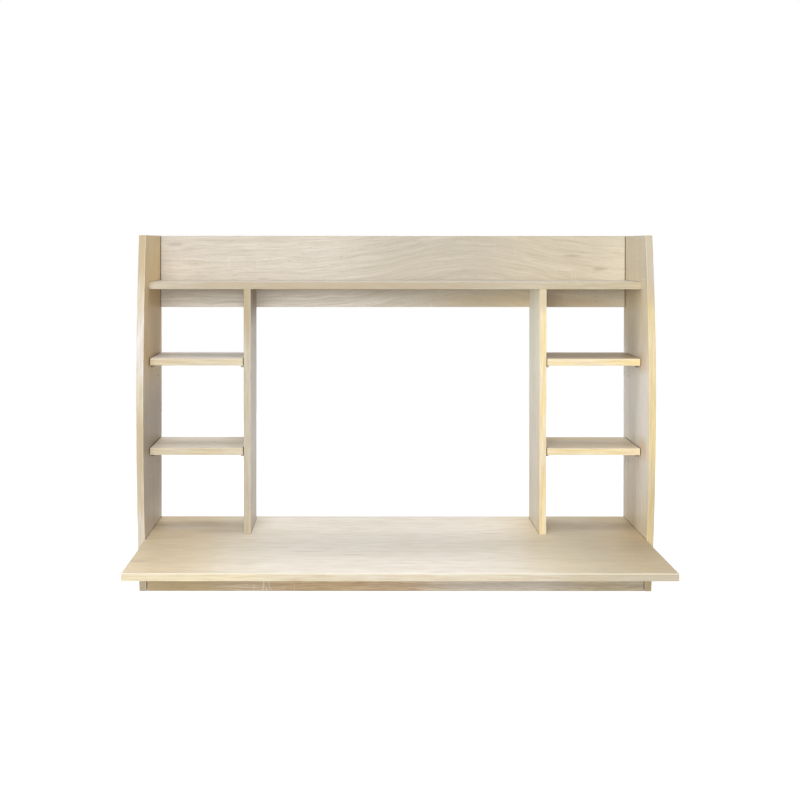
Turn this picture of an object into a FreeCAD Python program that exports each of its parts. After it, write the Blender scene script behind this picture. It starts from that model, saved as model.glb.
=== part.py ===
import FreeCAD, Part
import math
import os
from collections import defaultdict

# A wall-hung desk with a top shelf and four small shelves on pins, built from melamine-faced
# particleboard and cam fittings. Each piece, or set of like fasteners, becomes parts/NODE.step.
# Frame: +Z up, wall plane at Y = 0, front towards -Y, X = 0 at mid-width. Z = 0 is the line of
# wall screws that the hanger plates hook over. "Out" below means distance out from the wall.

Vector = FreeCAD.Vector
RIGHT = Vector(1, 0, 0)
REAR = Vector(0, 1, 0)
UP = Vector(0, 0, 1)
FULL_TURN = 360.0
SIDES = (("left", -1), ("right", 1))
EDGES = {  # name of a board's edge: its axis, and which end of that axis
    "left": (0, -1),
    "right": (0, 1),
    "front": (1, -1),
    "rear": (1, 1),
    "bottom": (2, -1),
    "top": (2, 1),
}

# ---- Driving dimensions, in millimetres ----
overall_width = 1100.0
overall_height = 765.0
desktop_depth = 480.0
board = 15.0
upper_rail_height = 164.0
top_shelf_drop = 102.0  # top of the desk down to the top face of the top shelf
upper_shelf_drop = 268.0
lower_shelf_drop = 463.0
apron_height = 100.0  # of the two rails under the desktop
bay_depth = 155.0  # of the top shelf, the dividers and the small shelves
centre_bay_width = 628.0
panel_depth_end = 203.0  # of a side panel at its top and bottom
panel_depth_mid = 239.0  # of a side panel at half height
apron_setback = 0.5  # of the front rail behind the foot of the side panels
hanger_drop = 50.0  # top of the desk down to the line of wall screws

# Plastic edge band.
band = 1.0
band_round = 0.6  # radius along its two outer arrises

# Clearances.
rail_end_gap = 1.5
shelf_end_gap = 2.0
pin_seat_gap = 0.2
hole_fit = 0.05  # radial, of a dowel, bolt, screw or pin in its hole
hole_bottom = 0.5  # left past the end of whatever sits in a blind hole
plate_fit = 0.2
sunk = 0.3  # how far a lock, plate or screw head lies below the surface

# Cam fitting: a bolt in one board's face, and a lock in the other board that draws it in.
cam_backset = 24.0  # end of the board to the centre of the lock
lock_radius = 7.4
lock_web = 2.5  # board left under the lock
lock_cavity_radius = 4.4
lock_cavity_half_height = 3.6
lock_slot_half_width = 2.4
bolt_embed_web = 4.0  # board left past the end of a bolt or dowel in a board's face
bolt_thread_radius = 2.5
bolt_shank_radius = 3.4
bolt_shank_length = 14.0
bolt_neck_radius = 1.9
bolt_head_radius = 3.2
bolt_head_half_length = 2.2
bolt_chamfer = 0.6
cam_row_margin = 35.0  # lock centre from the front or rear of the joint
rail_cam_margin = 18.0  # lock centre from the rail's long edge

# Wooden dowel.
dowel_radius = 4.0
dowel_length = 30.0
dowel_chamfer = 0.8
apron_dowel_margin = 20.0  # from the long edges of a rail under the desktop

# Metal shelf pin: a peg in the board, and a thicker barrel under the shelf.
pin_peg_radius = 2.5
pin_peg_length = 9.0
pin_barrel_radius = 3.0
pin_barrel_length = 8.5
pin_chamfer = 0.4
pin_rear_setback = 32.0  # from the shelf's rear edge
pin_front_setback = 25.0  # from the shelf's front edge
spare_hole_pitch = 32.0  # spare rear hole below the one in use

# Countersunk wood screws.
shelf_screw_radius = 2.0
shelf_screw_length = 40.0
shelf_screw_head_radius = 4.0
plate_screw_radius = 1.5
plate_screw_length = 12.0
plate_screw_head_radius = 3.0
screw_tip_length = 2.5
recess_width = 0.9  # of one arm of the cross recess
recess_depth = 1.2
recess_span_share = 1.2  # arm length over head radius

# Keyhole hanger plates, let into the rear face of the upper rail.
stud_pitch = 406.4  # usual spacing of wall studs
plate_width = 16.0
plate_length = 54.0
plate_thickness = 1.5
plate_screw_span = 40.0
plate_centre_drop = 9.0  # below the wall screw
keyhole_slot_radius = 2.6
keyhole_entry_radius = 5.0
keyhole_drop = 14.0  # wall screw's seat down to the centre of the entry hole
pocket_radius = 6.0  # room for the wall screw's head behind the plate
pocket_depth = 9.0

# Holes for wall screws in the rear rail under the desktop.
wall_hole_radius = 2.75
wall_hole_sink_radius = 5.5
wall_hole_margin = 25.0  # from the rail's long edges

# ---- Places worked out from them ----
top_z = hanger_drop
bottom_z = top_z - overall_height
inner_half = overall_width / 2 - board
divider_inner = centre_bay_width / 2
divider_outer = divider_inner + board
bay_front = board + bay_depth
top_shelf_top = top_z - top_shelf_drop
top_shelf_bottom = top_shelf_top - board
upper_rail_bottom = top_z - upper_rail_height
desktop_bottom = bottom_z + apron_height
desktop_top = desktop_bottom + board
apron_front = panel_depth_end - apron_setback
apron_rear = apron_front - board
divider_x = divider_inner + board / 2
side_bay_x = (divider_outer + inner_half) / 2
face_embed = board - bolt_embed_web
shelf_levels = (("upper", top_z - upper_shelf_drop), ("lower", top_z - lower_shelf_drop))
pin_columns = (board + pin_rear_setback, bay_front - pin_front_setback)

# The side panel's front edge is one arc through its top, middle and bottom.
panel_bulge = panel_depth_mid - panel_depth_end
panel_mid_z = (top_z + bottom_z) / 2
arc_radius = ((overall_height / 2) ** 2 + panel_bulge ** 2) / (2 * panel_bulge)
arc_centre = Vector(0, arc_radius - panel_depth_mid, panel_mid_z)

cutters = defaultdict(list)  # board name to the holes drilled in it
hardware = defaultdict(list)  # fastener node to its solids
boards = {}  # board name to (core, bands)


# ---- Shapes ----
def box(x_span, out_span, z_span):
    """A block between two X, two distances out from the wall and two Z."""
    corner = Vector(x_span[0], -out_span[1], z_span[0])
    sizes = [span[1] - span[0] for span in (x_span, out_span, z_span)]
    return Part.makeBox(*sizes, corner)


def rod(start, direction, length, radius):
    return Part.makeCylinder(radius, length, start, direction)


def turned(outline):
    """A solid of revolution about local +Z, from (radius, height) points."""
    foot = Vector(0, 0, outline[0][1])
    head = Vector(0, 0, outline[-1][1])
    rim = [Vector(radius, 0, height) for radius, height in outline]
    return Part.Face(Part.makePolygon([foot] + rim + [head, foot])).revolve(Vector(), UP, FULL_TURN)


def stadium(width, straight, height):
    """A slab with round ends: its straight part runs from local Y = 0 to Y = straight."""
    slab = Part.makeBox(width, straight, height, Vector(-width / 2, 0, 0))
    ends = [Part.makeCylinder(width / 2, height, Vector(0, y, 0)) for y in (0, straight)]
    return slab.fuse(ends).removeSplitter()


def moved(shape, point, rotation):
    copy = shape.copy()
    copy.Placement = FreeCAD.Placement(point, rotation) * shape.Placement
    return copy


def placed(shape, point, direction):
    """A copy with local +Z along direction."""
    return moved(shape, point, FreeCAD.Rotation(UP, direction))


def oriented(shape, point, x_direction, z_direction):
    """A copy with local +X and +Z along the directions given."""
    y_direction = z_direction.cross(x_direction)
    return moved(shape, point, FreeCAD.Rotation(x_direction, y_direction, z_direction, "ZXY"))


def cross_recess(head_radius, top):
    """The two crossed slots that a screwdriver turns, cut down from local Z = top."""
    span = head_radius * recess_span_share
    size = (span, recess_width)
    arms = [
        Part.makeBox(a, b, recess_depth, Vector(-a / 2, -b / 2, top - recess_depth))
        for a, b in (size, size[::-1])
    ]
    return arms[0].fuse(arms[1])


# ---- Boards and their edge bands ----
def band_section(centre, across, outward):
    """The band's cross-section: flat on the board, its two outer arrises rounded."""
    half = board / 2
    shoulder = band - band_round
    bow = band_round * (1 - math.sqrt(0.5))

    def point(u, v):
        return centre + across * u + outward * v

    edges = [
        Part.LineSegment(point(half, 0), point(-half, 0)),
        Part.LineSegment(point(-half, 0), point(-half, shoulder)),
        Part.Arc(point(-half, shoulder), point(bow - half, band - bow), point(band_round - half, band)),
        Part.LineSegment(point(band_round - half, band), point(half - band_round, band)),
        Part.Arc(point(half - band_round, band), point(half - bow, band - bow), point(half, shoulder)),
        Part.LineSegment(point(half, shoulder), point(half, 0)),
    ]
    return Part.Face(Part.Wire([edge.toShape() for edge in edges]))


def add_board(name, x_span, out_span, z_span, banded):
    """A rectangular board. Bands go on the edges named, and the first of them run full length."""
    units = (RIGHT, REAR, UP)
    low = [x_span[0], -out_span[1], z_span[0]]
    high = [x_span[1], -out_span[0], z_span[1]]
    extents = [high[i] - low[i] for i in range(3)]
    thickness_axis = extents.index(min(extents))
    middle = (low[thickness_axis] + high[thickness_axis]) / 2
    bands = []
    for edge in banded:
        edge_axis, sign = EDGES[edge]
        length_axis = 3 - thickness_axis - edge_axis
        length = high[length_axis] - low[length_axis]
        if sign < 0:
            low[edge_axis] += band
        else:
            high[edge_axis] -= band
        start = list(low)
        start[thickness_axis] = middle
        start[edge_axis] = low[edge_axis] if sign < 0 else high[edge_axis]
        section = band_section(Vector(*start), units[thickness_axis], units[edge_axis] * sign)
        bands.append(section.extrude(units[length_axis] * length))
    core = Part.makeBox(*[high[i] - low[i] for i in range(3)], Vector(*low))
    boards[name] = (core, bands)


def add_side_panel(name, sign):
    """An upright with a straight rear edge and one long arc for its front edge."""
    mid_x = sign * (inner_half + board / 2)
    x_span = (mid_x - board / 2, mid_x + board / 2)
    centre = arc_centre + RIGHT * x_span[0]
    core_cylinder = rod(centre, RIGHT, board, arc_radius - band)
    core = box(x_span, (0, panel_depth_mid), (bottom_z + band, top_z - band)).common(core_cylinder)

    reach = math.asin(overall_height / 2 / arc_radius) + band / arc_radius
    lowest = Vector(0, -math.cos(reach), -math.sin(reach))
    section = band_section(arc_centre + RIGHT * mid_x + lowest * (arc_radius - band), RIGHT, lowest)
    front = section.revolve(arc_centre, RIGHT * -1, 2 * math.degrees(reach))
    bands = [front.common(box(x_span, (0, panel_depth_mid), (bottom_z, top_z)))]
    for z, outward in ((top_z - band, UP), (bottom_z + band, UP * -1)):
        strip = band_section(Vector(mid_x, 0, z), RIGHT, outward).extrude(REAR * -panel_depth_mid)
        bands.append(strip.common(core_cylinder))
    boards[name] = (core, bands)


def add_long_boards():
    """The boards that run from side panel to side panel."""
    desk_span = (-inner_half, inner_half)
    rail_span = (-inner_half + rail_end_gap, inner_half - rail_end_gap)
    rail_height = (upper_rail_bottom, top_z)
    shelf_height = (top_shelf_bottom, top_shelf_top)
    desktop_height = (desktop_bottom, desktop_top)
    apron_span = (bottom_z, desktop_bottom)
    add_board("upper_back_rail", rail_span, (0, board), rail_height, ("top", "bottom"))
    add_board("top_shelf", desk_span, (board, bay_front), shelf_height, ("front",))
    add_board("desktop", desk_span, (0, desktop_depth), desktop_height, ("front", "left", "right"))
    add_board("lower_front_rail", rail_span, (apron_rear, apron_front), apron_span, ("bottom",))
    add_board("lower_back_rail", rail_span, (0, board), apron_span, ("bottom",))


def add_side_boards(side, sign):
    """One side panel, its divider, and the two small shelves between them."""
    add_side_panel(side + "_side_panel", sign)
    depth = (board, bay_front)
    divider_span = sorted((sign * divider_inner, sign * divider_outer))
    divider_height = (desktop_top, top_shelf_bottom)
    add_board(side + "_divider", divider_span, depth, divider_height, ("front", "rear"))
    shelf_ends = (divider_outer + shelf_end_gap, inner_half - shelf_end_gap)
    shelf_span = sorted(sign * end for end in shelf_ends)
    for level, shelf_top in shelf_levels:
        shelf_height = (shelf_top - board, shelf_top)
        all_edges = ("front", "rear", "left", "right")
        add_board(f"{side}_{level}_shelf", shelf_span, depth, shelf_height, all_edges)


# ---- Fasteners ----
def cam_lock():
    """A round lock: local +Z is its driven face, at the board's surface, and +X faces its bolt."""
    height = board - lock_web - sunk
    axis_depth = board / 2
    body = rod(Vector(0, 0, -height - sunk), UP, height, lock_radius)
    cavity_low = Vector(0, 0, -axis_depth - lock_cavity_half_height)
    cavity = rod(cavity_low, UP, 2 * lock_cavity_half_height, lock_cavity_radius)
    slot = Part.makeBox(lock_radius, 2 * lock_slot_half_width, 2 * lock_slot_half_width,
                        Vector(0, -lock_slot_half_width, -axis_depth - lock_slot_half_width))
    return body.cut([cavity, slot, cross_recess(lock_radius, -sunk)])


def cam_bolt(gap):
    """A bolt whose thread is below local Z = 0, the face of the board that it is screwed into."""
    head_centre = gap + cam_backset
    thread_radius = bolt_thread_radius - hole_fit
    return turned([
        (thread_radius - bolt_chamfer, -face_embed),
        (thread_radius, bolt_chamfer - face_embed),
        (thread_radius, 0),
        (bolt_shank_radius, 0),
        (bolt_shank_radius, gap + bolt_shank_length),
        (bolt_neck_radius, gap + bolt_shank_length + bolt_chamfer),
        (bolt_neck_radius, head_centre - bolt_head_half_length),
        (bolt_head_radius, head_centre - bolt_head_half_length + bolt_chamfer),
        (bolt_head_radius, head_centre + bolt_head_half_length - bolt_chamfer),
        (bolt_head_radius - bolt_chamfer, head_centre + bolt_head_half_length),
    ])


def add_cam_joint(cam_board, bolt_board, face_point, inward, lock_face, gap=0.0):
    """A bolt in bolt_board at face_point runs inward to a lock let into cam_board's lock_face."""
    lock_centre = face_point + inward * (gap + cam_backset)
    mouth = lock_centre + lock_face * (board / 2)
    thread_depth = face_embed + hole_bottom
    lock_depth = board - lock_web + hole_bottom
    cutters[bolt_board].append(rod(face_point, inward * -1, thread_depth, bolt_thread_radius))
    cutters[cam_board] += [
        rod(face_point, inward, gap + cam_backset, bolt_shank_radius + hole_fit),
        rod(mouth, lock_face * -1, lock_depth, lock_radius + hole_fit),
    ]
    hardware[cam_board + "_cam_bolts"].append(placed(cam_bolt(gap), face_point, inward))
    hardware[cam_board + "_cam_locks"].append(oriented(cam_lock(), mouth, inward * -1, lock_face))


def add_dowel(end_board, face_board, face_point, inward, gap=0.0):
    """A dowel from face_board's face, at face_point, inward into the end or edge of end_board."""
    end_depth = dowel_length - face_embed
    radius = dowel_radius - hole_fit
    dowel = turned([
        (radius - dowel_chamfer, -face_embed),
        (radius, dowel_chamfer - face_embed),
        (radius, end_depth - dowel_chamfer),
        (radius - dowel_chamfer, end_depth),
    ])
    end_point = face_point + inward * gap
    face_hole_depth = face_embed + hole_bottom
    end_hole_depth = end_depth - gap + hole_bottom
    cutters[face_board].append(rod(face_point, inward * -1, face_hole_depth, dowel_radius))
    cutters[end_board].append(rod(end_point, inward, end_hole_depth, dowel_radius))
    hardware[end_board + "_dowels"].append(placed(dowel, face_point, inward))


def countersunk_screw(radius, length, head_radius):
    """A wood screw: its flat head is at local Z = 0 and its tip points down."""
    cone = head_radius - radius
    screw = turned([
        (0, -length),
        (radius, screw_tip_length - length),
        (radius, -cone),
        (head_radius, 0),
    ])
    return screw.cut(cross_recess(head_radius, 0))


def countersunk_hole(radius, depth, head_radius, start_depth):
    """The cutter for such a screw: local Z = 0 is the surface, and the head starts at start_depth."""
    cone = head_radius - radius
    outline = [(radius, -depth), (radius, -start_depth - cone), (head_radius, -start_depth)]
    if start_depth:
        outline.append((head_radius, 0))
    return turned(outline)


def join_upper_rail(side, sign):
    """The upper rail's ends to the side panels, with the locks in its hidden rear face."""
    name = "upper_back_rail"
    panel = side + "_side_panel"
    inward = RIGHT * -sign
    for z in (top_z - rail_cam_margin, upper_rail_bottom + rail_cam_margin):
        point = Vector(sign * inner_half, -board / 2, z)
        add_cam_joint(name, panel, point, inward, REAR, rail_end_gap)
    mid_point = Vector(sign * inner_half, -board / 2, (top_z + upper_rail_bottom) / 2)
    add_dowel(name, panel, mid_point, inward, rail_end_gap)


def join_shelf_and_desktop(side, sign):
    """The ends of the top shelf and desktop to the side panels, with the locks underneath."""
    panel = side + "_side_panel"
    inward = RIGHT * -sign
    for name, z, front in (
        ("top_shelf", top_shelf_top - board / 2, bay_front),
        ("desktop", desktop_top - board / 2, apron_rear),
    ):
        rows = (board + cam_row_margin, front - cam_row_margin)
        for out in rows:
            add_cam_joint(name, panel, Vector(sign * inner_half, -out, z), inward, UP * -1)
        add_dowel(name, panel, Vector(sign * inner_half, -sum(rows) / 2, z), inward)


def join_divider(side, sign):
    """A divider to the top shelf above and the desktop below, with the locks in its outer face."""
    name = side + "_divider"
    rows = (board + cam_row_margin, bay_front - cam_row_margin)
    ends = (("top_shelf", top_shelf_bottom, UP * -1), ("desktop", desktop_top, UP))
    for other, z, inward in ends:
        for out in rows:
            point = Vector(sign * divider_x, -out, z)
            add_cam_joint(name, other, point, inward, RIGHT * sign)
        add_dowel(name, other, Vector(sign * divider_x, -sum(rows) / 2, z), inward)


def join_aprons(side, sign):
    """The two rails under the desktop to the side panels and to the desktop above them."""
    panel = side + "_side_panel"
    inward = RIGHT * -sign
    mid_z = (bottom_z + desktop_bottom) / 2
    rails = (
        ("lower_front_rail", apron_rear + board / 2, REAR),
        ("lower_back_rail", board / 2, REAR * -1),
    )
    for name, out, lock_face in rails:
        point = Vector(sign * inner_half, -out, mid_z)
        add_cam_joint(name, panel, point, inward, lock_face, rail_end_gap)
        for z in (bottom_z + apron_dowel_margin, desktop_bottom - apron_dowel_margin):
            add_dowel(name, panel, Vector(sign * inner_half, -out, z), inward, rail_end_gap)
        for x in (divider_inner / 2, side_bay_x):
            add_dowel(name, "desktop", Vector(sign * x, -out, desktop_bottom), UP * -1)


def add_shelf_screws():
    """Screws from behind the upper rail into the top shelf's rear edge."""
    shelf_z = top_shelf_top - board / 2
    hole = countersunk_hole(
        shelf_screw_radius + hole_fit, shelf_screw_length + sunk + hole_bottom,
        shelf_screw_head_radius + hole_fit, sunk)
    screw = countersunk_screw(shelf_screw_radius, shelf_screw_length, shelf_screw_head_radius)
    for sign in (-1, 1):
        for x in (divider_inner / 2, side_bay_x):
            surface = Vector(sign * x, 0, shelf_z)
            cutters["upper_back_rail"].append(placed(hole, surface, REAR))
            cutters["top_shelf"].append(placed(hole, surface, REAR))
            hardware["top_shelf_screws"].append(placed(screw, surface - REAR * sunk, REAR))


def hanger_plate():
    """A keyhole plate: local +Z is its rear face, +Y is up, and the wall screw sits at the origin."""
    straight = plate_length - plate_width
    low_end = -plate_centre_drop - straight / 2
    blank = stadium(plate_width, straight, plate_thickness)
    blank.translate(Vector(0, low_end, -plate_thickness))
    slot = stadium(2 * keyhole_slot_radius, keyhole_drop, plate_thickness)
    slot.translate(Vector(0, -keyhole_drop, -plate_thickness))
    entry = rod(Vector(0, -keyhole_drop, -plate_thickness), UP, plate_thickness, keyhole_entry_radius)
    screw_hole = countersunk_hole(
        plate_screw_radius + hole_fit, plate_thickness, plate_screw_head_radius + hole_fit, 0)
    screw_holes = [
        placed(screw_hole, Vector(0, end * plate_screw_span / 2 - plate_centre_drop, 0), UP)
        for end in (-1, 1)
    ]
    return blank.cut([slot, entry] + screw_holes)


def add_hangers():
    """Three keyhole plates at the stud spacing, each sunk in a recess over a pocket."""
    straight = plate_length - plate_width
    recess = stadium(plate_width + 2 * plate_fit, straight, plate_thickness + sunk)
    recess.translate(Vector(0, -plate_centre_drop - straight / 2, -plate_thickness - sunk))
    pocket = stadium(2 * pocket_radius, keyhole_drop, pocket_depth)
    pocket.translate(Vector(0, -keyhole_drop, -pocket_depth))
    pilot_depth = plate_screw_length + sunk + hole_bottom
    pilot_radius = plate_screw_radius + hole_fit
    plate = hanger_plate()
    screw = countersunk_screw(plate_screw_radius, plate_screw_length, plate_screw_head_radius)
    for step in (-1, 0, 1):
        surface = RIGHT * (step * stud_pitch)
        seat = surface - REAR * sunk
        for cutter in (recess, pocket):
            cutters["upper_back_rail"].append(oriented(cutter, surface, RIGHT * -1, REAR))
        hardware["hanger_plates"].append(oriented(plate, seat, RIGHT * -1, REAR))
        for end in (-1, 1):
            rise = UP * (end * plate_screw_span / 2 - plate_centre_drop)
            cutters["upper_back_rail"].append(rod(surface + rise, REAR * -1, pilot_depth, pilot_radius))
            hardware["hanger_plate_screws"].append(placed(screw, seat + rise, REAR))


def drill_wall_holes():
    """Two holes near each end of the lower back rail, countersunk from the front."""
    hole = countersunk_hole(wall_hole_radius, board, wall_hole_sink_radius, 0)
    for sign in (-1, 1):
        for z in (bottom_z + wall_hole_margin, desktop_bottom - wall_hole_margin):
            surface = Vector(sign * stud_pitch, -board, z)
            cutters["lower_back_rail"].append(placed(hole, surface, REAR * -1))


def add_shelf_pins(side, sign):
    """Four pins under each small shelf, and a spare hole below each rear pin."""
    radius = pin_peg_radius - hole_fit
    pin = turned([
        (radius - pin_chamfer, -pin_peg_length),
        (radius, pin_chamfer - pin_peg_length),
        (radius, 0),
        (pin_barrel_radius, 0),
        (pin_barrel_radius, pin_barrel_length - pin_chamfer),
        (pin_barrel_radius - pin_chamfer, pin_barrel_length),
    ])
    hole_depth = pin_peg_length + hole_bottom
    faces = (
        (side + "_side_panel", sign * inner_half, RIGHT * -sign),
        (side + "_divider", sign * divider_outer, RIGHT * sign),
    )
    for level, shelf_top in shelf_levels:
        z = shelf_top - board - pin_seat_gap - pin_barrel_radius
        for upright, x, inward in faces:
            points = [Vector(x, -out, z) for out in pin_columns]
            hardware[f"{side}_{level}_shelf_pins"] += [placed(pin, at, inward) for at in points]
            spare = points[0] - UP * spare_hole_pitch
            for at in points + [spare]:
                cutters[upright].append(rod(at, inward * -1, hole_depth, pin_peg_radius))


def save(node, solids):
    shape = solids[0] if len(solids) == 1 else Part.makeCompound(solids)
    shape.exportStep(f"parts/{node}.step")


def drilled(solid, holes):
    """The solid with its holes cut, as one solid."""
    near = [hole for hole in holes if hole.BoundBox.intersect(solid.BoundBox)]
    return solid.cut(near).Solids[0] if near else solid


def main():
    os.makedirs("parts", exist_ok=True)
    add_long_boards()
    for side, sign in SIDES:
        add_side_boards(side, sign)
        join_upper_rail(side, sign)
        join_shelf_and_desktop(side, sign)
        join_divider(side, sign)
        join_aprons(side, sign)
        add_shelf_pins(side, sign)
    add_shelf_screws()
    add_hangers()
    drill_wall_holes()
    for name, (core, bands) in boards.items():
        save(name, [drilled(core.Solids[0], cutters[name])])
        save(name + "_edge_band", [drilled(strip.Solids[0], cutters[name]) for strip in bands])
    for node, solids in hardware.items():
        save(node, solids)


main()
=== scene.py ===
"""Finishes a wall-hung desk in oak-decor board and lights it in a plain studio."""
import math
from typing import NamedTuple

import bpy
from bpy.props import FloatProperty, FloatVectorProperty, PointerProperty
from mathutils import Matrix, Vector


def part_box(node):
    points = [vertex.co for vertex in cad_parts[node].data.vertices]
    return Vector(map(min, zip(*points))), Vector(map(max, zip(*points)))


bl_info = {
    "name": "Wall Desk Finishes",
    "version": (1, 0, 0),
    "blender": (4, 5, 0),
    "location": "3D View > Sidebar > Wall Desk",
    "description": "Finishes a wall-hung desk in oak-decor board and lights it in a plain studio",
    "category": "Object",
}

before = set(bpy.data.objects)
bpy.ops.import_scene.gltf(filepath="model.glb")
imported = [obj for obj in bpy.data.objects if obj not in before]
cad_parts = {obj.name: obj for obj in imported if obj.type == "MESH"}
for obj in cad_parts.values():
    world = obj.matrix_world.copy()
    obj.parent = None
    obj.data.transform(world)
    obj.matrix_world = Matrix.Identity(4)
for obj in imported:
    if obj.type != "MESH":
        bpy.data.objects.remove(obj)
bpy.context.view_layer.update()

IMAGE_WIDTH = 800
MM = 0.001
X, Y, Z = 0, 1, 2
# Sockets of a Mix node that mixes colours, by number, because several share one name.
SHARE, FIRST, SECOND, RESULT = 0, 6, 7, 2


def linear(colour):
    """An sRGB hex colour such as "#E6DDCD" as linear red, green and blue."""
    channels = [int(colour[i:i + 2], 16) / 255 for i in (1, 3, 5)]
    return tuple(c / 12.92 if c <= 0.04045 else ((c + 0.055) / 1.055) ** 2.4 for c in channels)


def colour_setting(name, description, default):
    return FloatVectorProperty(
        name=name, description=description, subtype="COLOR", size=3, min=0.0, max=1.0,
        default=linear(default))


def length_setting(name, description, default):
    return FloatProperty(
        name=name, description=description, default=default, min=0.0, unit="LENGTH",
        subtype="DISTANCE", precision=4)


def share_setting(name, description, default):
    return FloatProperty(
        name=name, description=description, default=default, min=0.0, max=1.0, subtype="FACTOR")


# ---- Settings ----
class DeskDecorSettings(bpy.types.PropertyGroup):
    """The printed oak on the boards and their edge bands"""
    ground: colour_setting("Ground", "Palest wood between the growth bands", "#EDE5D9")
    ring: colour_setting("Late wood", "The darker part of a growth band", "#CABFA9")
    honey: colour_setting("Honey drift", "Warmer tone that the ground drifts to", "#E0CEA4")
    amber: colour_setting("Amber drift", "Deeper, redder tone of some stretches", "#D6AC74")
    pore: colour_setting("Pore", "Short dark pores in the late wood", "#A08E76")
    fleck: colour_setting("Ray fleck", "Pale flecks across the grain", "#F6F0E6")
    band_ground: colour_setting("Band ground", "Ground of the plastic edge band", "#E6DAC0")
    band_streak: colour_setting("Band streak", "Streaks printed on the edge band", "#C9B288")
    band_honey: colour_setting("Band honey", "Yellower print that some bands drift to", "#EFDAA0")
    # The band arris colour is bared plastic, and partly a painted highlight on the bands and faces
    # that take it.
    band_arris: colour_setting(
        "Band arris", "Unprinted plastic where the band was trimmed", "#F8F0DC")
    seam: colour_setting("Seam", "Side of the band and the glue behind it", "#B7A88B")
    joint: colour_setting("Joint", "Dust and shade in the hairline between two boards", "#5A4629")
    chip: colour_setting("Chip", "Wood chips in the core of the board", "#C9A877")
    glue: colour_setting("Glue", "Darker resin and fines between the chips", "#8E6D45")
    ring_width: length_setting("Growth width", "Across one growth band", 10 * MM)
    ring_length: length_setting("Growth length", "Along the grain before it changes", 420 * MM)
    fibre_width: length_setting("Fibre width", "Across one streak of fibres", 3.2 * MM)
    fibre_length: length_setting("Fibre length", "Along one streak of fibres", 55 * MM)
    pore_width: length_setting("Pore width", "Across a pore", 2.4 * MM)
    pore_length: length_setting("Pore length", "Along a pore", 28 * MM)
    fleck_width: length_setting("Fleck width", "Of one ray fleck, along the grain", 3.6 * MM)
    fleck_height: length_setting("Fleck height", "Of one ray fleck, across the grain", 34 * MM)
    wander: length_setting("Wander", "How far the grain strays sideways", 9 * MM)
    chip_size: length_setting("Chip size", "Across one chip in the core", 3 * MM)
    skin: length_setting("Skin", "Thickness of the printed melamine skin", 0.15 * MM)
    arris: length_setting("Arris", "Width of the trimmed corner of the edge band", 1.6 * MM)
    flush: length_setting("Flush", "Depth up to which a band counts as its side", 0.02 * MM)
    joint_reach: length_setting(
        "Joint reach", "How near a board must be to darken a joint", 3.5 * MM)
    emboss: length_setting("Emboss", "Depth of the pores pressed into the skin", 0.06 * MM)
    gloss_roughness: share_setting("Roughness", "Of the melamine skin", 0.5)


class DeskFittingSettings(bpy.types.PropertyGroup):
    """The fittings, most of them hidden once the desk stands together"""
    zinc: colour_setting("Die-cast zinc", "Cam locks", "#9EA0A2")
    plating: colour_setting("Zinc plating", "Bolts, screws and hanger plates", "#B9BCBE")
    nickel: colour_setting("Nickel plating", "Shelf pins", "#A9A49A")
    beech: colour_setting("Beech", "Dowels", "#CFAA7C")
    beech_ray: colour_setting("Beech rays", "Darker flecks of the dowels", "#A97F52")
    casting_grain: length_setting("Casting grain", "Across one crystal of cast zinc", 1.2 * MM)
    plating_cloud: length_setting("Plating cloud", "Across one cloud in the plating", 2.5 * MM)
    ray_length: length_setting("Beech ray", "Length of one fleck in the beech", 3 * MM)


class DeskStageSettings(bpy.types.PropertyGroup):
    """The camera, the floor and the light from all round"""
    camera_place: FloatVectorProperty(
        name="Camera", description="Where the camera stands, in the desk's frame",
        subtype="XYZ", unit="LENGTH", default=(-0.0848, -2.758, 0.0319))
    camera_dip: FloatProperty(
        name="Dip", description="How far the camera looks down", unit="ROTATION",
        subtype="ANGLE", default=math.radians(0.521))
    camera_roll: FloatProperty(
        name="Roll", description="How far the camera is turned about its view", unit="ROTATION",
        subtype="ANGLE", default=math.radians(0.03))
    focal_pixels: FloatProperty(
        name="Focal length", description="In pixels of the picture", subtype="PIXEL", default=1192)
    aim_x: FloatProperty(
        name="Aim across", description="Pixel column that the camera points at",
        subtype="PIXEL", default=356.12)
    aim_y: FloatProperty(
        name="Aim down", description="Pixel row that the camera points at",
        subtype="PIXEL", default=254.5)
    desktop_height: length_setting("Desktop height", "Floor to the top of the desktop", 750 * MM)
    floor_size: length_setting("Floor size", "Edge of the square floor", 14.0)
    floor_colour: colour_setting("Floor", "Pale matt floor", "#F2F1EE")
    floor_lift: share_setting("Floor lift", "White added to the floor near the desk", 0.6)
    floor_far_lift: share_setting("Far lift", "White added to the floor far away", 0.9)
    floor_near: length_setting("Near", "Distance up to which the floor is near", 1.7)
    floor_far: length_setting("Far", "Distance from which the floor is far away", 3.8)
    room_colour: colour_setting("Room", "Light from all round", "#F1F5FF")
    room_level: share_setting("Room level", "Strength of the light from all round", 0.28)


class Patch(NamedTuple):
    """A stretch of a board where one of the decor's colours is stronger, in metres. Some are
    painted light and shade.
    """
    place: float  # of its middle, along the grain
    reach: float  # from its middle to its end
    colour: str  # the setting that it is mixed from
    share: float  # of that colour, 1 where nothing else shows


class Mark(NamedTuple):
    """A short streak or fleck of the decor, in metres from its middle to its end and side. Some
    are painted light and shade.
    """
    place: float  # of its middle, along the grain
    height: float  # of its middle, across the grain
    half_length: float
    half_width: float
    colour: str  # as a patch's
    share: float


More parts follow.
